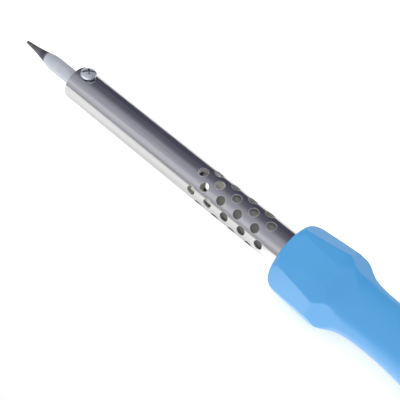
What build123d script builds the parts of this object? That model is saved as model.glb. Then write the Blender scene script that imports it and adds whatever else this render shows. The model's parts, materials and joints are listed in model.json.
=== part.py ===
"""Mains soldering iron with a plug-in tip, a vented steel barrel and a moulded handle.

X runs along the iron from the tip towards the cord, Z is up, and all sizes are in millimetres.
Stations along X are counted from the barrel's front rim while the pieces are made. At the end
each piece is moved to the part's own frame, whose origin is the bottom centre of the whole iron.
"""

from build123d import *
from math import hypot
import os

# Tip: a plated copper bit with a conical working end and a plain round shank
tip_diameter = 5.8
tip_reach = 28.5            # from the tip's end to the barrel's front rim
tip_hold = 46.0             # length of shank inside the barrel
tip_end_radius = 0.62
tip_cone_length = 11.9
tip_cone_base_drop = 0.66   # how much thinner the cone's base is than the shank
tip_cone_waist = 0.2        # how far the cone's side is hollowed at its middle
tip_edge_step = 0.06        # edge where the plating of the shank starts
tip_shoulder_length = 4.7
tip_running_gap = 0.05

# Barrel: a thin polished tube with a smooth front and a vented rear
barrel_diameter = 13.0
barrel_wall = 0.5
barrel_reach = 103.4        # from the front rim to the handle's nose
barrel_tail = 4.0           # behind the flange
barrel_rim_radius = 0.2
vent_diameter = 3.4
vent_zone = 39.3            # from the first vents to the handle's nose
vent_pitch = 7.65
vent_rows = 10
vent_long_row = 5           # holes in every second row, one fewer in the rows between
vent_row_turn = 12.0        # degrees from the top to the first long row

# Tip clamp: a screw with a split lock washer, threaded into a collar in the barrel's nose
nose_collar_inset = 0.8
nose_collar_length = 11.0
screw_station = 4.9
screw_thread_diameter = 3.0
screw_thread_gap = 0.05
screw_head_overhang = 1.4   # of the head beyond the thread
screw_head_height = 1.75
screw_head_edge = 0.8       # straight side of the head below its dome
screw_slot_width = 0.75
screw_slot_depth = 0.8
screw_slot_turn = 52.0      # degrees from the barrel's axis
screw_tip_gap = 0.1
washer_width = 1.0          # from its hole to its rim
washer_thickness = 0.5
washer_split = 0.5
washer_split_turn = 150.0   # degrees from the barrel's axis
washer_gap = 0.05

# Heating element: a winding between two mica sleeves on a core tube
core_wall = 0.5
core_tail = 3.0             # behind the winding
element_start_gap = 2.2     # behind the nose collar
element_length = 44.0
mica_thickness = 0.3
winding_thickness = 0.45
winding_groove = 0.2
winding_pitch = 1.1
spacer_length = 4.0

# Leads from the element to the terminals
lead_radius = 0.35
insulator_bore_gap = 0.1
insulator_end_gap = 1.0
jacket_start_gap = 11.0     # behind the rear element spacer
jacket_end_gap = 1.0        # in front of the earth tag
jacket_air = 0.4            # between the jacket and the barrel
jacket_wall = 0.4
jacket_room = 0.05          # between the jacket and the insulators
earth_radius = 0.5
earth_tag_length = 6.0
earth_tag_thickness = 0.5

# Handle, from its nose to its rear end
handle_length = 110.6
nose_bore_gap = 0.15
nose_lip = 2.6              # length of the narrow bore at the nose
nose_depth = 18.6           # from the nose to the shoulder that the flange seats on
nose_face_drop = 4.8        # from the collar's front radius in to the nose's flat face
dome_length = 5.6
dome_roundness = 0.75       # share of the dome's length and height that its curve keeps straight
collar_front_height = 3.7   # of the collar's front above the neck
collar_length = 14.8        # from the dome to the crest, where the collar is widest
collar_flare = 0.97         # how much wider the crest is than the front
facet_inset = 2.0           # from the rear edge of the wide flats to the crest
narrow_facet_depth = 0.61   # of each flat below the crest, at that edge
wide_facet_depth = 0.72
narrow_facet_slope = 2.0    # degrees, rising towards the rear
wide_facet_slope = 6.4
rear_facet_slope = 9.0      # degrees, falling towards the neck
shoulder_reach = 7.0        # how far the crest's slope carries into the curve down to the neck
shoulder_slope = 0.3
neck_length = 19.2          # from the crest to the neck's thinnest place
neck_reach = 15.8
neck_wall = 1.9
grip_tail = 34.0            # from the grip's thickest place to the handle's rear end
grip_reach = 14.0
grip_wall = 3.5
handle_end_wall = 2.1
handle_end_slope = 0.14
handle_edge_radius = 1.2

# Inside the handle
sleeve_wall = 0.5           # heat sleeve between barrel and nose
flange_thickness = 2.0
flange_height = 1.0
bore_gap = 0.1              # radial room around what slides into the handle
spacer_sleeve_wall = 0.7
wiring_room = 18.0          # from the barrel's tail to the terminal block
block_length = 14.0
terminal_wall = 1.05
terminal_inset = 1.0
terminal_bore_gap = 0.25    # around the thickest wire
terminal_screw_radius = 1.1
terminal_screw_length = 4.0
terminal_screw_inset = 3.5
rear_cavity_gap = 3.0       # behind the terminal block
rear_cavity_room = 0.4      # round the widest piece in the rear cavity
carrier_wall = 1.9
saddle_length = 12.0
saddle_gap = 0.8            # between the saddle and the clamp bar
clamp_bar_length = 6.0
clamp_bar_wall = 0.55       # of the bar above the cord's way
clamp_screw_side_gap = 0.9  # between the cord's way and each clamp screw
clamp_screw_radius = 1.25
clamp_screw_grip = 4.0
clamp_head_overhang = 0.85
clamp_head_height = 1.3

# Rear end
cap_spigot_length = 8.0
cap_thickness = 3.0
cap_screw_radius = 1.3
cap_screw_head_radius = 2.4
cap_screw_head_height = 1.4
cap_screw_length = 5.5
cord_hole_radius = 3.25
grommet_wall = 1.6
grommet_lip = 1.2
grommet_lip_thickness = 1.5

# Worked out from the values above
tip_radius = tip_diameter / 2
tip_cone_base_radius = tip_radius - tip_cone_base_drop
bore_radius = tip_radius + tip_running_gap
barrel_radius = barrel_diameter / 2
barrel_bore = barrel_radius - barrel_wall
handle_start = barrel_reach
flange_station = handle_start + nose_depth
barrel_length = flange_station + flange_thickness + barrel_tail
vent_first_station = handle_start - vent_zone
nose_collar_end = nose_collar_inset + nose_collar_length
element_start = nose_collar_end + element_start_gap
element_end = element_start + element_length
core_end = element_end + core_tail
core_radius = bore_radius + core_wall
winding_inner = core_radius + mica_thickness
winding_outer = winding_inner + winding_thickness
element_radius = winding_outer + mica_thickness
lead_offset = (winding_inner + winding_outer) / 2
spacer_end = element_end + spacer_length
jacket_radius = barrel_bore - jacket_air
jacket_bore = jacket_radius - jacket_wall
insulator_radius = jacket_bore - jacket_room - lead_offset
earth_tag_station = barrel_length - earth_tag_length
thread_radius = screw_thread_diameter / 2
thread_hole_radius = thread_radius + screw_thread_gap
screw_head_radius = thread_radius + screw_head_overhang
washer_bottom = barrel_radius + washer_gap
washer_top = washer_bottom + washer_thickness
head_bottom = washer_top + washer_gap
head_top = head_bottom + screw_head_height
sleeve_radius = barrel_radius + sleeve_wall
flange_radius = barrel_radius + flange_height
earth_drop = barrel_bore - earth_tag_thickness - earth_radius
front_cavity_radius = flange_radius + bore_gap
clamp_screw_offset = cord_hole_radius + clamp_screw_side_gap + clamp_screw_radius
clamp_head_radius = clamp_screw_radius + clamp_head_overhang
clamp_bar_reach = clamp_screw_offset + clamp_head_radius
clamp_bar_top = cord_hole_radius + clamp_bar_wall
clamp_bar_height = clamp_bar_top - saddle_gap / 2
clamp_corner = hypot(clamp_bar_reach, clamp_bar_top)
rear_cavity_radius = max(front_cavity_radius, clamp_corner) + rear_cavity_room
neck_radius = front_cavity_radius + neck_wall
collar_front_radius = neck_radius + collar_front_height
crest_radius = collar_front_radius + collar_flare
nose_face_radius = collar_front_radius - nose_face_drop
crest_station = handle_start + dome_length + collar_length
neck_station = crest_station + neck_length
handle_end = handle_start + handle_length
handle_end_radius = rear_cavity_radius + handle_end_wall
grip_radius = rear_cavity_radius + grip_wall
grip_station = handle_end - grip_tail
block_station = barrel_length + wiring_room
block_end = block_station + block_length
terminal_bore_radius = max(lead_radius, earth_radius) + terminal_bore_gap
terminal_radius = terminal_bore_radius + terminal_wall
terminal_screw_stations = (block_station + terminal_screw_inset, block_end - terminal_screw_inset)
rear_cavity_station = block_end + rear_cavity_gap
spigot_start = handle_end - cap_spigot_length
saddle_middle = (block_end + spigot_start) / 2
saddle_station = saddle_middle - saddle_length / 2
clamp_seat = (saddle_gap + clamp_bar_height) / 2
spigot_radius = rear_cavity_radius - bore_gap
cap_end = handle_end + cap_thickness
cap_screw_station = handle_end - cap_spigot_length / 2
grommet_radius = cord_hole_radius + grommet_wall
grommet_end = cap_end + grommet_lip_thickness
overlap = 0.1               # how far two forms reach into each other where they join into one

START = (Align.CENTER, Align.CENTER, Align.MIN)


def rod(radius, start, end, y=0.0, z=0.0):
    """A round bar along X between two stations."""
    return Pos(start, y, z) * Rot(Y=90) * Cylinder(radius, end - start, align=START)


def tube(outer, inner, start, end, y=0.0, z=0.0):
    """A round pipe along X between two stations."""
    return rod(outer, start, end, y, z) - rod(inner, start - 1, end + 1, y, z)


def post(radius, bottom, top, x, y=0.0):
    """A round bar along Z between two heights."""
    return Pos(x, y, bottom) * Cylinder(radius, top - bottom, align=START)


def turned(*edges):
    """A solid turned about X from edges that close an outline above the axis."""
    return revolve(make_face(Curve() + list(edges)), Axis.X)


def at(x, r):
    """A point of a turned outline: station and radius."""
    return (x, 0, r)


def soldering_tip():
    end = -tip_reach
    cone_end = end + tip_cone_length
    shoulder_end = cone_end + tip_shoulder_length
    nose = end + tip_end_radius / 2
    middle = (nose + cone_end) / 2
    waist = (tip_end_radius + tip_cone_base_radius) / 2 - tip_cone_waist
    edge_radius = tip_cone_base_radius + tip_edge_step
    chamfer = tip_radius / 6
    return turned(
        Line(at(end, 0), at(end, tip_end_radius / 2)),
        Line(at(end, tip_end_radius / 2), at(nose, tip_end_radius)),
        ThreePointArc(at(nose, tip_end_radius), at(middle, waist), at(cone_end, tip_cone_base_radius)),
        Line(at(cone_end, tip_cone_base_radius), at(cone_end, edge_radius)),
        TangentArc(at(shoulder_end, tip_radius), at(cone_end, edge_radius), tangent=(-1, 0, 0)),
        Line(at(shoulder_end, tip_radius), at(tip_hold - chamfer, tip_radius)),
        Line(at(tip_hold - chamfer, tip_radius), at(tip_hold, tip_radius - chamfer)),
        Line(at(tip_hold, tip_radius - chamfer), at(tip_hold, 0)),
        Line(at(tip_hold, 0), at(end, 0)),
    )


def vent_holes():
    holes = []
    for row in range(vent_rows):
        between = row % 2
        angle = vent_row_turn + 360 / vent_rows * row
        for step in range(vent_long_row - between):
            x = vent_first_station + vent_pitch * (step + between / 2)
            holes.append(Rot(X=angle) * post(vent_diameter / 2, 0, barrel_radius + 1, x))
    return holes


def barrel_tube():
    shell = tube(barrel_radius, barrel_bore, 0, barrel_length)
    rim = shell.edges().filter_by(GeomType.CIRCLE).group_by(Axis.X)[0].sort_by(SortBy.RADIUS)[-1]
    shell = fillet(rim, barrel_rim_radius)
    screw_hole = post(thread_hole_radius, 0, barrel_radius + 1, screw_station)
    return shell - vent_holes() - screw_hole


def nose_collar():
    ring = tube(barrel_bore, bore_radius, nose_collar_inset, nose_collar_end)
    return ring - post(thread_hole_radius, 0, barrel_radius, screw_station)


def lock_washer():
    """A flat ring with a slanting split, which lies under the screw's head."""
    outer = thread_hole_radius + washer_width
    ring = post(outer, washer_bottom, washer_top, screw_station)
    ring -= post(thread_hole_radius, 0, head_bottom, screw_station)
    middle = Pos(screw_station, 0, (washer_bottom + washer_top) / 2)
    split = Pos(thread_hole_radius + washer_width / 2, 0, 0) * Rot(X=45)
    return ring - middle * Rot(Z=washer_split_turn) * split * Box(2 * washer_width, washer_split, outer)


def clamp_screw():
    """A domed head with a slot right across it and a shorter cross slot, on a round shank."""
    dome_height = screw_head_height - screw_head_edge
    dome_sphere = (screw_head_radius**2 + dome_height**2) / (2 * dome_height)
    head = post(screw_head_radius, head_bottom, head_top, screw_station)
    head &= Pos(screw_station, 0, head_top - dome_sphere) * Sphere(dome_sphere)
    slot = Box(3 * screw_head_radius, screw_slot_width, 2 * screw_slot_depth)
    cross = Box(screw_head_radius, screw_slot_width, 2 * screw_slot_depth)
    recess = Rot(Z=screw_slot_turn) * slot + Rot(Z=screw_slot_turn + 90) * cross
    shank = post(thread_radius, tip_radius + screw_tip_gap, head_bottom + overlap, screw_station)
    return head + shank - Pos(screw_station, 0, head_top) * recess


def heating_winding():
    """The wound wire as one ribbed sleeve, a groove between each turn."""
    sleeve = tube(winding_outer, winding_inner, element_start, element_end)
    turns = int((element_end - element_start) / winding_pitch)
    start = (element_start + element_end - (turns - 1) * winding_pitch) / 2
    ring = Torus(winding_outer, winding_groove)
    grooves = [Pos(start + winding_pitch * i, 0, 0) * Rot(Y=90) * ring for i in range(turns)]
    return sleeve - grooves


def barrel_flange():
    return tube(flange_radius, barrel_radius, flange_station, flange_station + flange_thickness)


def facet_block(turn, depth, slope):
    """A block whose inner face is a flat of the collar, this far below the crest."""
    size = 4 * collar_front_radius
    block = Box(size, size, size, align=START)
    return Rot(X=turn) * Pos(crest_station - facet_inset, 0, crest_radius - depth) * Rot(Y=-slope) * block


def handle_form():
    """The handle's outer form: domed nose, twelve-sided collar, neck, swelling grip and rear end."""
    dome_end = handle_start + dome_length
    dome_height = collar_front_radius - nose_face_radius
    flare = collar_flare / collar_length
    outline = [
        Line(at(handle_start, 0), at(handle_start, nose_face_radius)),
        Bezier(
            at(handle_start, nose_face_radius),
            at(handle_start, nose_face_radius + dome_roundness * dome_height),
            at(dome_end - dome_roundness * dome_length,
               collar_front_radius - flare * dome_roundness * dome_length),
            at(dome_end, collar_front_radius),
        ),
        Line(at(dome_end, collar_front_radius), at(crest_station, crest_radius)),
        Bezier(
            at(crest_station, crest_radius),
            at(crest_station + shoulder_reach, crest_radius - shoulder_slope * shoulder_reach),
            at(neck_station - neck_reach, neck_radius),
            at(neck_station, neck_radius),
        ),
        Bezier(
            at(neck_station, neck_radius),
            at(neck_station + grip_reach, neck_radius),
            at(grip_station - grip_reach, grip_radius),
            at(grip_station, grip_radius),
        ),
        Bezier(
            at(grip_station, grip_radius),
            at(grip_station + grip_reach, grip_radius),
            at(handle_end - grip_reach, handle_end_radius + handle_end_slope * grip_reach),
            at(handle_end, handle_end_radius),
        ),
        Line(at(handle_end, handle_end_radius), at(handle_end, 0)),
        Line(at(handle_end, 0), at(handle_start, 0)),
    ]
    flats = []
    for turn in range(0, 360, 60):
        flats.append(facet_block(turn, narrow_facet_depth, narrow_facet_slope))
        flats.append(facet_block(turn + 30, wide_facet_depth, wide_facet_slope))
        flats.append(facet_block(turn + 30, wide_facet_depth, -rear_facet_slope))
    return turned(*outline) - flats


def handle_shell():
    lip_end = handle_start + nose_lip
    bores = [
        rod(barrel_radius + nose_bore_gap, handle_start - 1, lip_end),
        rod(sleeve_radius, lip_end, flange_station),
        rod(front_cavity_radius, flange_station, rear_cavity_station),
        rod(rear_cavity_radius, rear_cavity_station, handle_end + 1),
    ]
    return handle_form() - bores - cap_screw_holes()


def cap_screw_holes():
    """Holes and countersinks for the two screws that hold the end cap."""
    mouth = post(cap_screw_head_radius, handle_end_radius, grip_radius, cap_screw_station)
    return [Rot(X=side) * (cap_screw() + mouth) for side in (90, -90)]


def cap_screw():
    """One countersunk screw, from outside the handle into the cap's spigot, pointing down."""
    top = handle_end_radius
    seat = top - cap_screw_head_height
    head = Cone(cap_screw_radius, cap_screw_head_radius, cap_screw_head_height, align=START)
    shank = post(cap_screw_radius, top - cap_screw_length, seat + overlap, cap_screw_station)
    return Pos(cap_screw_station, 0, seat) * head + shank


def nose_heat_sleeve():
    return tube(sleeve_radius, barrel_radius, handle_start + nose_lip, flange_station)


def spacer_sleeve():
    inner = flange_radius - spacer_sleeve_wall
    return tube(flange_radius, inner, flange_station + flange_thickness, block_station)


def element_lead(side):
    return rod(lead_radius, element_end, block_end - terminal_inset, side * lead_offset)


def lead_insulator(side):
    start = spacer_end + insulator_end_gap
    end = block_station - insulator_end_gap
    return tube(insulator_radius, lead_radius + insulator_bore_gap, start, end, side * lead_offset)


def rear_element_spacer():
    """A ceramic disc that centres the element's tail, with a hole for each lead."""
    disc = tube(barrel_bore, core_radius, element_end, spacer_end)
    return disc - [element_lead(side) for side in (1, -1)]


def lead_jacket():
    """A woven glass sleeve round both insulators, seen through the vents."""
    start = spacer_end + jacket_start_gap
    return tube(jacket_radius, jacket_bore, start, earth_tag_station - jacket_end_gap)


def earth_tag():
    inner = barrel_bore - earth_tag_thickness
    return tube(barrel_bore, inner, earth_tag_station, barrel_length)


def earth_lead():
    return rod(earth_radius, earth_tag_station, block_end - terminal_inset, 0, -earth_drop)


TERMINALS = {
    "live_terminal": (lead_offset, 0.0, lead_radius),
    "neutral_terminal": (-lead_offset, 0.0, lead_radius),
    "earth_terminal": (0.0, -earth_drop, earth_radius),
}


def terminal_screw_posts(y, z, wire_radius):
    """The two grub screws that grip the wires in one terminal."""
    bottom = z + wire_radius
    top = bottom + terminal_screw_length
    return [post(terminal_screw_radius, bottom, top, x, y) for x in terminal_screw_stations]


def terminal_sleeve(y, z, wire_radius):
    start = block_station + terminal_inset
    sleeve = tube(terminal_radius, terminal_bore_radius, start, block_end - terminal_inset, y, z)
    return sleeve - terminal_screw_posts(y, z, wire_radius)


def terminal_screws():
    screws = []
    for y, z, wire_radius in TERMINALS.values():
        for screw in terminal_screw_posts(y, z, wire_radius):
            top = screw.bounding_box().max.Z
            slot = Box(4 * terminal_screw_radius, terminal_screw_radius / 2, terminal_screw_radius)
            centre = screw.center()
            screws.append(screw - Pos(centre.X, centre.Y, top) * slot)
    return Compound(screws)


def terminal_block():
    block = rod(flange_radius, block_station, block_end)
    for y, z, wire_radius in TERMINALS.values():
        block -= rod(terminal_radius, block_station - 1, block_end + 1, y, z)
        for x in terminal_screw_stations:
            block -= post(terminal_screw_radius, z + wire_radius, flange_radius + 1, x, y)
    return block


def cord_space():
    """The round way for the cord, on the iron's axis."""
    return rod(cord_hole_radius, block_end, grommet_end + 1)


def cord_carrier():
    """A trough from the terminal block to the end cap, with a saddle for the cord."""
    trough = tube(flange_radius, flange_radius - carrier_wall, block_end, spigot_start)
    body = trough + rod(flange_radius, saddle_station, saddle_station + saddle_length)
    upper = Box(spigot_start - block_end + 2, 4 * flange_radius, 2 * flange_radius, align=START)
    body -= Pos(saddle_middle, 0, -saddle_gap / 2) * upper
    screw_holes = [
        post(clamp_screw_radius, -saddle_gap / 2 - clamp_screw_grip, 1, saddle_middle, y)
        for y in (clamp_screw_offset, -clamp_screw_offset)
    ]
    return body - cord_space() - screw_holes


def cord_clamp_bar():
    bar = Box(clamp_bar_length, 2 * clamp_bar_reach, clamp_bar_height, align=START)
    bar = Pos(saddle_middle, 0, saddle_gap / 2) * bar - cord_space()
    for y in (clamp_screw_offset, -clamp_screw_offset):
        bar -= post(clamp_screw_radius, 0, clamp_bar_height, saddle_middle, y)
        bar -= post(clamp_head_radius, clamp_seat, clamp_seat + clamp_bar_height, saddle_middle, y)
    return bar


def cord_clamp_screws():
    bottom = -saddle_gap / 2 - clamp_screw_grip
    top = clamp_seat + clamp_head_height
    slot = Box(3 * clamp_head_radius, clamp_head_radius / 3, clamp_head_height)
    screws = []
    for y in (clamp_screw_offset, -clamp_screw_offset):
        shank = post(clamp_screw_radius, bottom, clamp_seat + overlap, saddle_middle, y)
        head = post(clamp_head_radius, clamp_seat, top, saddle_middle, y)
        screws.append(shank + head - Pos(saddle_middle, y, top) * slot)
    return Compound(screws)


def end_cap():
    plate = rod(handle_end_radius, handle_end, cap_end)
    rim = plate.edges().group_by(Axis.X)[-1]
    plate = fillet(rim, handle_edge_radius)
    spigot = rod(spigot_radius, spigot_start, handle_end + overlap)
    body = plate + spigot - rod(grommet_radius, spigot_start - 1, cap_end + 1)
    return body - cap_screw_holes()


def end_cap_screws():
    """Two countersunk screws, each with a slot across its head."""
    screws = []
    for side in (90, -90):
        slot = Box(4 * cap_screw_radius, cap_screw_radius / 2, cap_screw_head_height)
        screw = cap_screw() - Pos(cap_screw_station, 0, handle_end_radius) * slot
        screws.append(Rot(X=side) * screw)
    return Compound(screws)


def cord_grommet():
    body = rod(grommet_radius, spigot_start, cap_end + overlap)
    lip = rod(grommet_radius + grommet_lip, cap_end, grommet_end)
    return body + lip - cord_space()


PARTS = {
    "soldering_tip": soldering_tip(),
    "barrel_tube": barrel_tube(),
    "nose_collar": nose_collar(),
    "lock_washer": lock_washer(),
    "clamp_screw": clamp_screw(),
    "element_core_tube": tube(core_radius, bore_radius, nose_collar_end, core_end),
    "inner_mica_sleeve": tube(winding_inner, core_radius, element_start, element_end),
    "heating_winding": heating_winding(),
    "outer_mica_sleeve": tube(element_radius, winding_outer, element_start, element_end),
    "front_element_spacer": tube(barrel_bore, element_radius, element_start,
                                 element_start + spacer_length),
    "rear_element_spacer": rear_element_spacer(),
    "live_element_lead": element_lead(1),
    "neutral_element_lead": element_lead(-1),
    "live_lead_insulator": lead_insulator(1),
    "neutral_lead_insulator": lead_insulator(-1),
    "lead_jacket": lead_jacket(),
    "barrel_flange": barrel_flange(),
    "nose_heat_sleeve": nose_heat_sleeve(),
    "handle_shell": handle_shell(),
    "spacer_sleeve": spacer_sleeve(),
    "terminal_block": terminal_block(),
    "terminal_screws": terminal_screws(),
    "earth_tag": earth_tag(),
    "earth_lead": earth_lead(),
    "cord_carrier": cord_carrier(),
    "cord_clamp_bar": cord_clamp_bar(),
    "cord_clamp_screws": cord_clamp_screws(),
    "end_cap": end_cap(),
    "end_cap_screws": end_cap_screws(),
    "cord_grommet": cord_grommet(),
}
for name, (y, z, wire_radius) in TERMINALS.items():
    PARTS[name] = terminal_sleeve(y, z, wire_radius)

flats = PARTS["handle_shell"].faces().filter_by(GeomType.PLANE)
lowest = min(flat.bounding_box().min.Z for flat in flats)
middle_station = (grommet_end - tip_reach) / 2
to_part_frame = Pos(-middle_station, 0, -lowest)

os.makedirs("parts", exist_ok=True)
for name, part in PARTS.items():
    export_step(to_part_frame * part, f"parts/{name}.step")
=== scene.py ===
import json
import math

import bmesh
import bpy
from mathutils import Matrix, Vector


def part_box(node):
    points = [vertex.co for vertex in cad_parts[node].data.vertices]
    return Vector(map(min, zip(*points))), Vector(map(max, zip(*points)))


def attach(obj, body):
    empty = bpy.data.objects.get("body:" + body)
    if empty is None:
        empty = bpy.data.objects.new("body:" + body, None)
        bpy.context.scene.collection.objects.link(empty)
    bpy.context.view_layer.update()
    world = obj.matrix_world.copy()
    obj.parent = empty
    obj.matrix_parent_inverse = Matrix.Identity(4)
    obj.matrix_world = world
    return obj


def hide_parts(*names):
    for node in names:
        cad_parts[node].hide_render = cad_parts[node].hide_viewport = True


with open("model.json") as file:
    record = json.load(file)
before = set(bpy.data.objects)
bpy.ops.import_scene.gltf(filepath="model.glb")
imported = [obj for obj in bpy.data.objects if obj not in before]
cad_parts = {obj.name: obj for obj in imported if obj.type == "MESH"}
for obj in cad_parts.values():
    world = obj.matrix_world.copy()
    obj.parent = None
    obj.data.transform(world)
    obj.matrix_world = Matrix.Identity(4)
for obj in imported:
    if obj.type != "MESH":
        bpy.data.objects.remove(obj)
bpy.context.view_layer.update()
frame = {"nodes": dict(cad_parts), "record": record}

MM = 0.001
SCENE = bpy.context.scene


def middle(node):
    """The centre of a CAD node's box."""
    low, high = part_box(node)
    return (low + high) / 2


BARREL_LOW, BARREL_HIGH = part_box("barrel_tube")
AXIS_Z = middle("barrel_tube").z
RIM = Vector((BARREL_LOW.x, 0, AXIS_Z))
HANDLE_NOSE_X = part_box("handle_shell")[0].x

# Camera: degrees, and mm from the middle of the barrel's front rim
AZIMUTH, ELEVATION, ROLL = 33.015, 46.0, 14.18
CAMERA_LENS = 86.61
CAMERA_PLACE = Vector((191.29, -195.12, 232.80))

# Materials
NOISE_LOW, NOISE_HIGH = 0.3, 0.7        # most of a noise lies between these
TIP_CONE = 11.9                         # mm, length of the tip's cone
SLEEVE_PITCH = 1.2                      # mm along the sleeving from one strand to the next
SLEEVE_STRANDS = 26                     # strands of each set round the sleeving

# The handle, in mm from its nose and from its axis
DOME_END, FACET_EDGE, CREST, NECK, GRIP, HANDLE_END = 5.6, 18.4, 20.4, 39.6, 76.6, 110.6
NOSE_R, FRONT_R, CREST_R, NECK_R, GRIP_R, END_R = 8.4, 13.2, 14.17, 9.5, 12.308, 10.908
DOME_FULLNESS = 0.75                    # reach of its curve's arms, as a share of the dome
SHOULDER_REACH, SHOULDER_FALL, NECK_REACH = 7.0, 2.1, 15.8
GRIP_REACH, END_FALL = 14, 1.96

# The flats, cut by turns to two depths: narrow ones and wide ones, six of each
FLAT_PITCH = math.pi / 3
NARROW_DEPTH, WIDE_DEPTH = 0.61, 0.72
NARROW_RISE, WIDE_RISE = math.tan(math.radians(2.0)), math.tan(math.radians(6.4))
WIDE_START = CREST_R - WIDE_DEPTH

# A wide flat's sweep into the neck: its curve's arms, and how far before the neck it ends
SWEEP_REACH, SWEEP_FALL = 5.0, 1.1
SWEEP_END, SWEEP_END_REACH, SWEEP_DIP = 1.0, 15.0, 0.05

# Widths that the ridges are rounded over: flat to flat, and flat to outline
FLAT_SOFTNESS, CREST_SOFTNESS = 0.16, 0.22

# The bore's stations and radii, from the rear end to the nose
BORE = [(HANDLE_END, 8.81), (53.0, 8.81), (53.0, 7.6), (18.6, 7.6), (18.6, 7.0), (2.6, 7.0),
        (2.6, 6.65), (0.35, 6.65), (0.0, 7.0)]

# The mouths of the end cap's screws: radius, middle from the axis, depth
MOUTH_R, MOUTH_MIDDLE, MOUTH_DEPTH = 2.4, 10.6, 6
SPOKES = 288                            # points round each ring of the handle
SMOOTH_UP_TO = 32                       # degrees, the sharpest corner that is shaded smooth

# Floor, in metres, and how brightly it lights itself to the camera and in mirrors
FLOOR_HALF, FLOOR_FRONT, FLOOR_DROP = 3.0, -0.05, 0.0002
FLOOR_GLOW = 0.58
MIRRORED_DIM, MIRRORED_BRIGHT = 0.22, 1.6
FADE = 0.012                            # half the width of a change between the mirrored parts

# Strength of the world's light from the camera's side and from behind
LIGHT_FRONT, LIGHT_BEHIND = 1.08, 0.84

# What metal mirrors, by the angle round the iron's axis: 0 is up, -90 is the camera's side
MIRRORED_ROOM = [(-125, (1.1, 1.1, 1.1)), (-104, (0.95, 0.95, 0.95)), (-102, (0.10, 0.10, 0.11)),
                 (-99, (0.40, 0.40, 0.43)), (-80, (0.60, 0.60, 0.66)), (-66, (0.72, 0.73, 0.80)),
                 (-48, (0.46, 0.46, 0.53)), (-20, (0.36, 0.36, 0.43)), (8, (0.14, 0.14, 0.19)),
                 (48, (0.08, 0.08, 0.12)), (110, (0.05, 0.05, 0.07))]


# Camera -----------------------------------------------------------------------------------------

def add_camera():
    """Looks down from beside the handle, rolled so that the iron slants across the picture."""
    azimuth, elevation, roll = (math.radians(a) for a in (AZIMUTH, ELEVATION, ROLL))
    level = Vector((math.cos(azimuth), math.sin(azimuth), 0))
    forward = Vector((-math.sin(azimuth) * math.cos(elevation),
                      math.cos(azimuth) * math.cos(elevation), -math.sin(elevation)))
    upright = level.cross(forward)
    right = math.cos(roll) * level + math.sin(roll) * upright
    up = right.cross(forward)
    data = bpy.data.cameras.new("camera")
    data.sensor_width = 36.0
    data.lens = CAMERA_LENS
    data.clip_start = 0.01
    data.clip_end = 20.0
    camera = bpy.data.objects.new("camera", data)
    turn = Matrix((right, up, -forward)).transposed().to_4x4()
    camera.matrix_world = Matrix.Translation(RIM + CAMERA_PLACE * MM) @ turn
    SCENE.collection.objects.link(camera)
    SCENE.camera = camera


# Shader helpers ---------------------------------------------------------------------------------

class Nodes:
    """A node tree, and short calls to add nodes to it."""

    def __init__(self, tree):
        self.tree = tree

    def add(self, kind, **settings):
        """A new node. A setting is an attribute of it, or else the value of an input."""
        node = self.tree.nodes.new(kind)
        for key, value in settings.items():
            if hasattr(node, key):
                setattr(node, key, value)
            else:
                node.inputs[key.replace("_", " ")].default_value = value
        return node

    def link(self, source, target):
        self.tree.links.new(source, target)

    def feed(self, socket, value):
        """A number, a colour or another node's output, given to a socket."""
        if isinstance(value, (float, int)):
            socket.default_value = value
        elif isinstance(value, tuple):
            socket.default_value = (*value, 1.0)
        else:
            self.link(value, socket)

    def ramp(self, source, stops):
        """Colours, or greys given as one number, by the source's value."""
        node = self.add("ShaderNodeValToRGB")
        elements = node.color_ramp.elements
        while len(elements) < len(stops):
            elements.new(0.5)
        for element, (place, colour) in zip(elements, stops):
            element.position = place
            value = colour if isinstance(colour, tuple) else (colour,) * 3
            element.color = (*value, 1.0)
        self.link(source, node.inputs["Fac"])
        return node.outputs["Color"]

    def spread(self, source, low, high, to_low, to_high, **settings):
        """The range from low to high, moved to another range and held to it."""
        node = self.add("ShaderNodeMapRange", From_Min=low, From_Max=high, To_Min=to_low,
                        To_Max=to_high, **settings)
        self.link(source, node.inputs["Value"])
        return node.outputs["Result"]

    def mix(self, share, first, second):
        """From the first to the second of two colours or numbers, by this share."""
        node = self.add("ShaderNodeMix", data_type="RGBA")
        for key, value in ((0, share), (6, first), (7, second)):
            self.feed(node.inputs[key], value)
        return node.outputs[2]

    def math(self, operation, *values, clamped=False):
        node = self.add("ShaderNodeMath", operation=operation, use_clamp=clamped)
        for key, value in enumerate(values):
            self.feed(node.inputs[key], value)
        return node.outputs[0]

    def split(self, vector):
        """The X, Y and Z of a vector, by letter."""
        node = self.add("ShaderNodeSeparateXYZ")
        self.link(vector, node.inputs[0])
        return node.outputs

    def seen(self, path):
        """One for what the camera sees, straight or through glass."""
        return self.math("ADD", path["Is Camera Ray"], path["Is Transmission Ray"], clamped=True)


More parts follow.
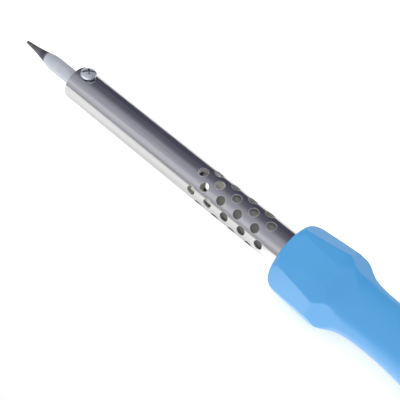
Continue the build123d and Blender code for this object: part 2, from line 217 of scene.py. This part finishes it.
class Shader(Nodes):
    """A new node material with a Principled shader, and short calls for its surface."""

    def __init__(self, name, **settings):
        self.material = bpy.data.materials.new(name)
        self.material.use_nodes = True
        super().__init__(self.material.node_tree)
        self.surface = self.tree.nodes["Principled BSDF"]
        for socket, value in settings.items():
            self.surface.inputs[socket.replace("_", " ")].default_value = value

    def position(self, stretch=(1, 1, 1)):
        """The piece's own coordinates, in metres, which ride with it."""
        coordinates = self.add("ShaderNodeTexCoord")
        mapping = self.add("ShaderNodeMapping", Scale=stretch)
        self.link(coordinates.outputs["Object"], mapping.inputs["Vector"])
        return mapping.outputs["Vector"]

    def axis(self, letter):
        """One of the piece's own coordinates, in metres."""
        return self.split(self.position())[letter]

    def noise(self, scale, detail, roughness, stretch=(1, 1, 1)):
        node = self.add("ShaderNodeTexNoise", Scale=scale, Detail=detail, Roughness=roughness)
        self.link(self.position(stretch), node.inputs["Vector"])
        return node.outputs["Fac"]

    def tones(self, noise, first, second, low=NOISE_LOW, high=NOISE_HIGH):
        """A noise turned into two colours and those between them."""
        return self.ramp(noise, [(low, first), (high, second)])

    def colour(self, source):
        self.link(source, self.surface.inputs["Base Color"])

    def roughness(self, noise, low, high):
        """Roughness between these two, by a noise."""
        self.link(self.spread(noise, NOISE_LOW, NOISE_HIGH, low, high),
                  self.surface.inputs["Roughness"])

    def edge_highlight_mask(self, radius):
        """One close to a corner, zero on open surface: where a painted highlight goes."""
        rounded = self.add("ShaderNodeBevel", samples=6, Radius=radius)
        plain = self.add("ShaderNodeNewGeometry")
        dot = self.add("ShaderNodeVectorMath", operation="DOT_PRODUCT")
        self.link(rounded.outputs["Normal"], dot.inputs[0])
        self.link(plain.outputs["Normal"], dot.inputs[1])
        open_surface, corner = 0.985, 0.9
        return self.spread(dot.outputs["Value"], open_surface, corner, 0.0, 1.0)

    def openness(self, distance):
        """One on open surface, less in recesses narrower than this."""
        node = self.add("ShaderNodeAmbientOcclusion", samples=8, Distance=distance)
        return node.outputs["AO"]

    def bump(self, source, height, strength):
        """Relief of this height in metres, on top of any bump already there."""
        node = self.add("ShaderNodeBump", Strength=strength, Distance=height)
        self.link(source, node.inputs["Height"])
        socket = self.surface.inputs["Normal"]
        if socket.is_linked:
            self.link(socket.links[0].from_socket, node.inputs["Normal"])
        self.link(node.outputs["Normal"], socket)


# Materials --------------------------------------------------------------------------------------

def polished_steel():
    """Drawn and buffed tube: faint lengthwise streaks, a soft mottle, straw tint at the rear, and a
    painted highlight on the edges of the vents.
    """
    s = Shader("polished_steel", Metallic=1.0)
    streaks = s.noise(scale=900, detail=3, roughness=0.6, stretch=(0.02, 1, 1))
    clouds = s.noise(scale=150, detail=5, roughness=0.6, stretch=(0.45, 1, 1))
    heat = s.spread(s.axis("X"), BARREL_LOW.x + 50 * MM, BARREL_HIGH.x, 0.0, 0.35)
    tone = s.tones(streaks, (0.64, 0.64, 0.65), (0.76, 0.76, 0.76))
    tone = s.mix(heat, tone, (0.78, 0.75, 0.70))
    # Painted highlight: near corners the tube turns pale and less metallic. This stands in for the
    # bright glint on the rounded rims of the vents.
    edge_highlight = s.edge_highlight_mask(0.3 * MM)
    s.colour(s.mix(edge_highlight, tone, (0.85, 0.85, 0.84)))
    s.link(s.spread(edge_highlight, 0, 1, 1.0, 0.25), s.surface.inputs["Metallic"])
    s.roughness(s.mix(0.5, streaks, clouds), 0.08, 0.22)
    s.bump(streaks, height=0.01 * MM, strength=0.35)
    s.bump(clouds, height=0.10 * MM, strength=0.4)
    return s.material


def tip_metal():
    """One plated bit: a heat-darkened tinned cone, then satin plating on shoulder and shank."""
    s = Shader("tip_metal", Metallic=0.6)
    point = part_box("soldering_tip")[0].x
    cone_end = point + TIP_CONE * MM
    x = s.axis("X")
    grain = s.noise(scale=1500, detail=4, roughness=0.6, stretch=(0.15, 1, 1))
    clouds = s.noise(scale=350, detail=5, roughness=0.6)
    along = s.spread(x, point, cone_end, 0.0, 1.0)
    wander = s.math("MULTIPLY", s.math("SUBTRACT", clouds, 0.5), 0.25)
    dark = s.ramp(s.math("ADD", along, wander),
                  [(0.0, (0.17, 0.17, 0.17)), (0.35, (0.15, 0.15, 0.15)),
                   (0.62, (0.19, 0.18, 0.21)), (0.82, (0.10, 0.09, 0.13)),
                   (0.93, (0.13, 0.12, 0.16)), (1.0, (0.42, 0.42, 0.47))])
    light = s.tones(clouds, (0.66, 0.70, 0.77), (0.75, 0.78, 0.83))
    light = s.mix(s.math("MULTIPLY", grain, 0.25), light, (0.50, 0.52, 0.58))
    on_cone = s.math("LESS_THAN", x, cone_end)
    s.colour(s.mix(on_cone, light, dark))
    s.roughness(s.mix(on_cone, clouds, grain), 0.42, 0.52)
    s.bump(grain, height=0.03 * MM, strength=0.3)
    s.bump(clouds, height=0.06 * MM, strength=0.3)
    return s.material


def zinc_steel():
    """Bright zinc plate with a cold tint, and painted shade in the recesses."""
    s = Shader("zinc_steel", Metallic=0.75)
    clouds = s.noise(scale=700, detail=4, roughness=0.6)
    fine = s.noise(scale=3500, detail=3, roughness=0.5)
    tone = s.tones(clouds, (0.72, 0.79, 0.88), (0.86, 0.91, 0.97))
    # Painted shade: the colour darkens to near black in the slot, under the head and in other
    # recesses, by how closed in they are.
    unshaded_share = s.spread(s.openness(0.9 * MM), 0.35, 0.85, 0.0, 1.0)
    s.colour(s.mix(unshaded_share, (0.06, 0.07, 0.10), tone))
    s.roughness(clouds, 0.18, 0.36)
    s.bump(fine, height=0.02 * MM, strength=0.35)
    return s.material


def blue_plastic():
    """Moulded satin plastic: fine orange peel, slight flow marks, a little light through it."""
    s = Shader("blue_plastic", Specular_IOR_Level=0.9, Coat_Weight=0.5, Coat_Roughness=0.5,
               Subsurface_Weight=0.08, Subsurface_Scale=3 * MM, Subsurface_Radius=(0.3, 0.7, 1.0))
    clouds = s.noise(scale=45, detail=4, roughness=0.55)
    peel = s.noise(scale=1400, detail=2, roughness=0.5)
    fine = s.noise(scale=5200, detail=2, roughness=0.5)
    s.colour(s.tones(clouds, (0.026, 0.308, 0.690), (0.036, 0.338, 0.730)))
    s.roughness(s.mix(0.4, clouds, peel), 0.40, 0.50)
    s.bump(peel, height=0.04 * MM, strength=0.25)
    s.bump(fine, height=0.01 * MM, strength=0.3)
    return s.material


def plain_steel():
    """Turned steel with fine rings round the axis."""
    s = Shader("plain_steel", Metallic=1.0)
    rings = s.noise(scale=2500, detail=2, roughness=0.5, stretch=(1, 0.02, 0.02))
    clouds = s.noise(scale=300, detail=4, roughness=0.6)
    s.colour(s.tones(clouds, (0.30, 0.30, 0.31), (0.46, 0.45, 0.45)))
    s.roughness(rings, 0.30, 0.48)
    s.bump(rings, height=0.03 * MM, strength=0.3)
    return s.material


def steatite():
    """Unglazed ceramic, off-white with a slight speckle."""
    s = Shader("steatite", Roughness=0.7)
    speckle = s.noise(scale=2200, detail=3, roughness=0.6)
    clouds = s.noise(scale=200, detail=4, roughness=0.5)
    tone = s.tones(clouds, (0.78, 0.76, 0.71), (0.88, 0.86, 0.81))
    s.colour(s.mix(s.ramp(speckle, [(0.62, 0.0), (0.72, 1.0)]), tone, (0.5, 0.46, 0.4)))
    s.bump(speckle, height=0.03 * MM, strength=0.3)
    return s.material


def mica():
    """Rolled mica flake, straw coloured with pale plates."""
    s = Shader("mica", Roughness=0.35)
    plates = s.add("ShaderNodeTexVoronoi", Scale=400)
    s.link(s.position(), plates.inputs["Vector"])
    distance = plates.outputs["Distance"]
    s.colour(s.tones(distance, (0.62, 0.56, 0.42), (0.42, 0.37, 0.27), low=0.1, high=0.8))
    s.bump(distance, height=0.03 * MM, strength=0.3)
    return s.material


def wire_metal(name, dark, light):
    """Drawn wire with lengthwise die marks."""
    s = Shader(name, Metallic=1.0)
    marks = s.noise(scale=3000, detail=3, roughness=0.6, stretch=(0.03, 1, 1))
    s.colour(s.tones(marks, dark, light))
    s.roughness(marks, 0.28, 0.42)
    s.bump(marks, height=0.01 * MM, strength=0.3)
    return s.material


def pressed_fibre():
    """Brown vulcanised fibre with a fleck of lighter strands."""
    s = Shader("pressed_fibre", Roughness=0.8)
    strands = s.noise(scale=1800, detail=5, roughness=0.7, stretch=(0.3, 1, 1))
    s.colour(s.tones(strands, (0.20, 0.12, 0.07), (0.36, 0.25, 0.15), low=0.35, high=0.65))
    s.bump(strands, height=0.04 * MM, strength=0.4)
    return s.material


def phenolic():
    """Dark moulded resin with a fine filler grain."""
    s = Shader("phenolic")
    grain = s.noise(scale=2600, detail=4, roughness=0.6)
    s.colour(s.tones(grain, (0.030, 0.020, 0.017), (0.062, 0.045, 0.038), low=0.35, high=0.65))
    s.roughness(grain, 0.42, 0.6)
    s.bump(grain, height=0.02 * MM, strength=0.3)
    return s.material


def black_rubber():
    """Moulded rubber with a dull bloom."""
    s = Shader("black_rubber", Specular_IOR_Level=0.35)
    bloom = s.noise(scale=240, detail=5, roughness=0.6)
    grain = s.noise(scale=3200, detail=3, roughness=0.6)
    s.colour(s.tones(bloom, (0.020, 0.020, 0.021), (0.040, 0.040, 0.042)))
    s.roughness(bloom, 0.62, 0.8)
    s.bump(grain, height=0.03 * MM, strength=0.4)
    return s.material


def glass_fibre():
    """Woven glass sleeving, grey-green from use: two sets of strands that cross over."""
    s = Shader("glass_fibre", Roughness=0.75)
    along = s.math("DIVIDE", s.axis("X"), SLEEVE_PITCH * MM)
    around = s.math("ARCTAN2", s.axis("Y"), s.math("SUBTRACT", s.axis("Z"), AXIS_Z))
    strands = []
    for side in (1, -1):
        phase = s.math("ADD", along, s.math("DIVIDE", around, side * 2 * math.pi / SLEEVE_STRANDS))
        strands.append(s.math("SINE", s.math("MULTIPLY", phase, 2 * math.pi)))
    weave = s.math("MULTIPLY", *strands)
    clouds = s.noise(scale=260, detail=4, roughness=0.6)
    tone = s.tones(clouds, (0.30, 0.315, 0.295), (0.44, 0.45, 0.41))
    s.colour(s.mix(s.spread(weave, -1, 1, 0.0, 0.75), (0.03, 0.033, 0.035), tone))
    s.bump(weave, height=0.12 * MM, strength=0.8)
    return s.material


def dress_nodes():
    """Every CAD node gets the finish of its material slot. Gives back the finishes."""
    made = {
        "barrel_chrome": polished_steel(),
        "tip_plating": tip_metal(),
        "zinc_steel": zinc_steel(),
        "blue_plastic": blue_plastic(),
        "plain_steel": plain_steel(),
        "steatite": steatite(),
        "mica": mica(),
        "nichrome": wire_metal("nichrome", (0.20, 0.19, 0.18), (0.34, 0.33, 0.32)),
        "nickel_wire": wire_metal("nickel_wire", (0.42, 0.41, 0.38), (0.58, 0.57, 0.53)),
        "copper_wire": wire_metal("copper_wire", (0.70, 0.36, 0.22), (0.86, 0.50, 0.34)),
        "terminal_brass": wire_metal("terminal_brass", (0.64, 0.46, 0.18), (0.80, 0.62, 0.30)),
        "pressed_fibre": pressed_fibre(),
        "phenolic": phenolic(),
        "black_rubber": black_rubber(),
        "glass_fibre": glass_fibre(),
    }
    for row in frame["record"]["subparts"]:
        materials = frame["nodes"][row["node"]].data.materials
        materials.clear()
        materials.append(made[row["material_slot"]])
    return made


# Handle -----------------------------------------------------------------------------------------

def curve(points, steps):
    """Points of a Bezier curve through (station, radius) pairs, without the first."""
    a, b, c, d = (Vector(p) for p in points)
    found = []
    for i in range(1, steps + 1):
        t = i / steps
        u = 1 - t
        found.append(tuple(u**3 * a + 3 * u * u * t * b + 3 * u * t * t * c + t**3 * d))
    return found


def handle_outline():
    """Stations and radii of the handle before its flats are cut, from the nose to the rear."""
    rise, length = CREST_R - FRONT_R, CREST - DOME_END
    dome_up = DOME_FULLNESS * (FRONT_R - NOSE_R)
    dome_back = DOME_FULLNESS * DOME_END
    cone_steps = 44
    points = [(0, NOSE_R)]
    points += curve([(0, NOSE_R), (0, NOSE_R + dome_up),
                     (DOME_END - dome_back, FRONT_R - rise / length * dome_back),
                     (DOME_END, FRONT_R)], steps=22)
    points += [(DOME_END + length * i / cone_steps, FRONT_R + rise * i / cone_steps)
               for i in range(1, cone_steps + 1)]
    points += curve([(CREST, CREST_R), (CREST + SHOULDER_REACH, CREST_R - SHOULDER_FALL),
                     (NECK - NECK_REACH, NECK_R), (NECK, NECK_R)], steps=64)
    points += curve([(NECK, NECK_R), (NECK + GRIP_REACH, NECK_R),
                     (GRIP - GRIP_REACH, GRIP_R), (GRIP, GRIP_R)], steps=30)
    points += curve([(GRIP, GRIP_R), (GRIP + GRIP_REACH, GRIP_R),
                     (HANDLE_END - GRIP_REACH, END_R + END_FALL), (HANDLE_END, END_R)],
                    steps=26)
    return points


def flat_sweep():
    """Stations and heights of a wide flat from its straight rear edge down into the neck."""
    edge = (FACET_EDGE, WIDE_START)
    return [edge] + curve([edge, (FACET_EDGE + SWEEP_REACH, WIDE_START - SWEEP_FALL),
                           (NECK - SWEEP_END_REACH, NECK_R - SWEEP_DIP),
                           (NECK - SWEEP_END, NECK_R)], steps=40)


def softer_least(first, second, width):
    """The lesser of two values, with the corner between them rounded over this width."""
    share = min(max(0.5 + 0.5 * (second - first) / width, 0), 1)
    return second + (first - second) * share - width * share * (1 - share)


def wide_flat(x, sweep):
    """Height of a wide flat: it rises to its rear edge, then follows the sweep. Past that, none."""
    if x <= FACET_EDGE:
        return WIDE_START + WIDE_RISE * (x - FACET_EDGE)
    for (x0, r0), (x1, r1) in zip(sweep, sweep[1:]):
        if x0 <= x <= x1:
            return r0 + (r1 - r0) * (x - x0) / (x1 - x0)
    return 2 * CREST_R


def handle_radius(x, outline_radius, angle, sweep):
    """Radius of the outer surface at a station and an angle from the top."""
    from_narrow = (angle + FLAT_PITCH / 2) % FLAT_PITCH - FLAT_PITCH / 2
    from_wide = angle % FLAT_PITCH - FLAT_PITCH / 2
    narrow = (CREST_R - NARROW_DEPTH + NARROW_RISE * (x - FACET_EDGE)) / math.cos(from_narrow)
    wide = wide_flat(x, sweep) / math.cos(from_wide)
    flats = softer_least(narrow, wide, FLAT_SOFTNESS)
    return softer_least(flats, outline_radius, CREST_SOFTNESS)


def handle_piece(material):
    """The moulded handle with softened ridges, on the bores of the CAD handle."""
    sweep = flat_sweep()
    angles = [2 * math.pi * i / SPOKES for i in range(SPOKES)]
    rings = []
    for x, r in handle_outline():
        if 0.0 < x < NECK:
            rings.append([(x, handle_radius(x, r, a, sweep), a) for a in angles])
        else:
            rings.append([(x, r, a) for a in angles])
    rings += [[(x, r, a) for a in angles] for x, r in BORE]
    verts = [(HANDLE_NOSE_X + x * MM, r * MM * math.sin(a), AXIS_Z + r * MM * math.cos(a))
             for ring in rings for x, r, a in ring]
    faces = []
    for j in range(len(rings)):
        here, there = j * SPOKES, (j + 1) % len(rings) * SPOKES
        for i in range(SPOKES):
            n = (i + 1) % SPOKES
            faces.append((here + i, there + i, there + n, here + n))
    mesh = bpy.data.meshes.new("moulded_handle")
    mesh.from_pydata(verts, [], faces)
    piece = bpy.data.objects.new("moulded_handle", mesh)
    SCENE.collection.objects.link(piece)
    piece.data.materials.append(material)
    drill(piece)
    shade(piece)
    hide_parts("handle_shell")
    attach(piece, "iron")


def drill(piece):
    """The round mouths of the end cap's screws, cut into both sides of the handle's rear end."""
    station = middle("end_cap_screws").x
    for side in (1, -1):
        bit = bmesh.new()
        place = Matrix.Translation((station, side * MOUTH_MIDDLE * MM, AXIS_Z))
        bmesh.ops.create_cone(bit, cap_ends=True, segments=64, radius1=MOUTH_R * MM,
                              radius2=MOUTH_R * MM, depth=MOUTH_DEPTH * MM,
                              matrix=place @ Matrix.Rotation(math.pi / 2, 4, "X"))
        mesh = bpy.data.meshes.new("bit")
        bit.to_mesh(mesh)
        bit.free()
        cutter = bpy.data.objects.new("bit", mesh)
        SCENE.collection.objects.link(cutter)
        cut = piece.modifiers.new("mouth", "BOOLEAN")
        cut.operation = "DIFFERENCE"
        cut.solver = "EXACT"
        cut.object = cutter
        bpy.context.view_layer.update()
        cut_piece = piece.evaluated_get(bpy.context.evaluated_depsgraph_get())
        done = bpy.data.meshes.new_from_object(cut_piece)
        piece.modifiers.clear()
        piece.data = done
        bpy.data.objects.remove(cutter)


def shade(piece):
    """Smooth shading that stays crisp at sharp corners."""
    work = bmesh.new()
    work.from_mesh(piece.data)
    bmesh.ops.recalc_face_normals(work, faces=work.faces)
    for face in work.faces:
        face.smooth = True
    for edge in work.edges:
        edge.smooth = (len(edge.link_faces) == 2
                       and edge.calc_face_angle() < math.radians(SMOOTH_UP_TO))
    work.to_mesh(piece.data)
    work.free()


# Stage ------------------------------------------------------------------------------------------

def floor_glow(nodes):
    """How brightly the floor lights itself: evenly to the camera, and in mirrors more beside the
    handle than beside the tip, on the camera's side of the iron only."""
    path = nodes.add("ShaderNodeLightPath").outputs
    place = nodes.split(nodes.add("ShaderNodeTexCoord").outputs["Object"])
    card = nodes.spread(place["X"], -FADE, FADE, MIRRORED_DIM, MIRRORED_BRIGHT,
                        interpolation_type="SMOOTHSTEP")
    side = nodes.spread(place["Y"], FADE, -FADE, 0.0, 1.0)
    to_camera = nodes.math("MULTIPLY", nodes.seen(path), FLOOR_GLOW)
    return nodes.math("MULTIPLY_ADD", path["Is Glossy Ray"], nodes.math("MULTIPLY", card, side),
                      to_camera)


def add_floor():
    """A white sheet under the iron, a little self-lit so that it shows as a white background."""
    mesh = bpy.data.meshes.new("floor")
    corners = [(-FLOOR_HALF, FLOOR_FRONT, 0), (FLOOR_HALF, FLOOR_FRONT, 0),
               (FLOOR_HALF, FLOOR_HALF, 0), (-FLOOR_HALF, FLOOR_HALF, 0)]
    mesh.from_pydata(corners, [], [(0, 1, 2, 3)])
    floor = bpy.data.objects.new("floor", mesh)
    floor.location.z = -FLOOR_DROP
    SCENE.collection.objects.link(floor)
    material = bpy.data.materials.new("white_sheet")
    material.use_nodes = True
    nodes = Nodes(material.node_tree)
    nodes.tree.nodes.clear()
    diffuse = nodes.add("ShaderNodeBsdfDiffuse", Color=(0.8, 0.8, 0.8, 1))
    glow = nodes.add("ShaderNodeEmission", Color=(1, 1, 1, 1))
    nodes.link(floor_glow(nodes), glow.inputs["Strength"])
    both = nodes.add("ShaderNodeAddShader")
    nodes.link(diffuse.outputs[0], both.inputs[0])
    nodes.link(glow.outputs[0], both.inputs[1])
    output = nodes.add("ShaderNodeOutputMaterial")
    nodes.link(both.outputs[0], output.inputs["Surface"])
    floor.data.materials.append(material)


def add_world():
    """White behind everything. Metal mirrors a studio that darkens from the front to the back."""
    world = bpy.data.worlds.new("studio")
    world.use_nodes = True
    SCENE.world = world
    nodes = Nodes(world.node_tree)
    nodes.tree.nodes.clear()
    path = nodes.add("ShaderNodeLightPath").outputs
    way = nodes.split(nodes.add("ShaderNodeTexCoord").outputs["Generated"])
    angle = nodes.math("ARCTAN2", way["Y"], way["Z"])
    turn = nodes.spread(angle, -math.pi, math.pi, 0.0, 1.0)
    room = nodes.ramp(turn, [((degrees + 180) / 360, colour) for degrees, colour in MIRRORED_ROOM])
    white = nodes.add("ShaderNodeBackground", Color=(1, 1, 1, 1), Strength=1.0)
    soft = nodes.add("ShaderNodeBackground", Color=(1.0, 0.99, 0.98, 1))
    strength = nodes.spread(way["Y"], -1.0, 1.0, LIGHT_FRONT, LIGHT_BEHIND)
    nodes.link(strength, soft.inputs["Strength"])
    mirror = nodes.add("ShaderNodeBackground")
    nodes.link(room, mirror.inputs["Color"])
    in_mirror = nodes.add("ShaderNodeMixShader")
    final = nodes.add("ShaderNodeMixShader")
    for mixer, share, first, second in (
            (in_mirror, path["Is Glossy Ray"], soft, mirror),
            (final, nodes.seen(path), in_mirror, white)):
        nodes.link(share, mixer.inputs[0])
        nodes.link(first.outputs[0], mixer.inputs[1])
        nodes.link(second.outputs[0], mixer.inputs[2])
    output = nodes.add("ShaderNodeOutputWorld")
    nodes.link(final.outputs[0], output.inputs["Surface"])


def add_lamp(name, place, aim, size, power):
    """A square lamp that isn't mirrored."""
    data = bpy.data.lights.new(name, "AREA")
    data.shape = "SQUARE"
    data.size = size
    data.energy = power
    lamp = bpy.data.objects.new(name, data)
    lamp.location = place
    lamp.visible_glossy = False
    lamp.rotation_euler = (Vector(aim) - Vector(place)).to_track_quat("-Z", "Y").to_euler()
    SCENE.collection.objects.link(lamp)


def add_stage():
    """Floor, world and lamp, shown without a film look."""
    add_floor()
    add_world()
    add_lamp("overhead", place=(0.05, -0.05, 1.5), aim=(0.0, 0.0, 0.0), size=2.5, power=6.5)
    SCENE.view_settings.view_transform = "Standard"


add_camera()
add_stage()
finishes = dress_nodes()
handle_piece(finishes["blue_plastic"])
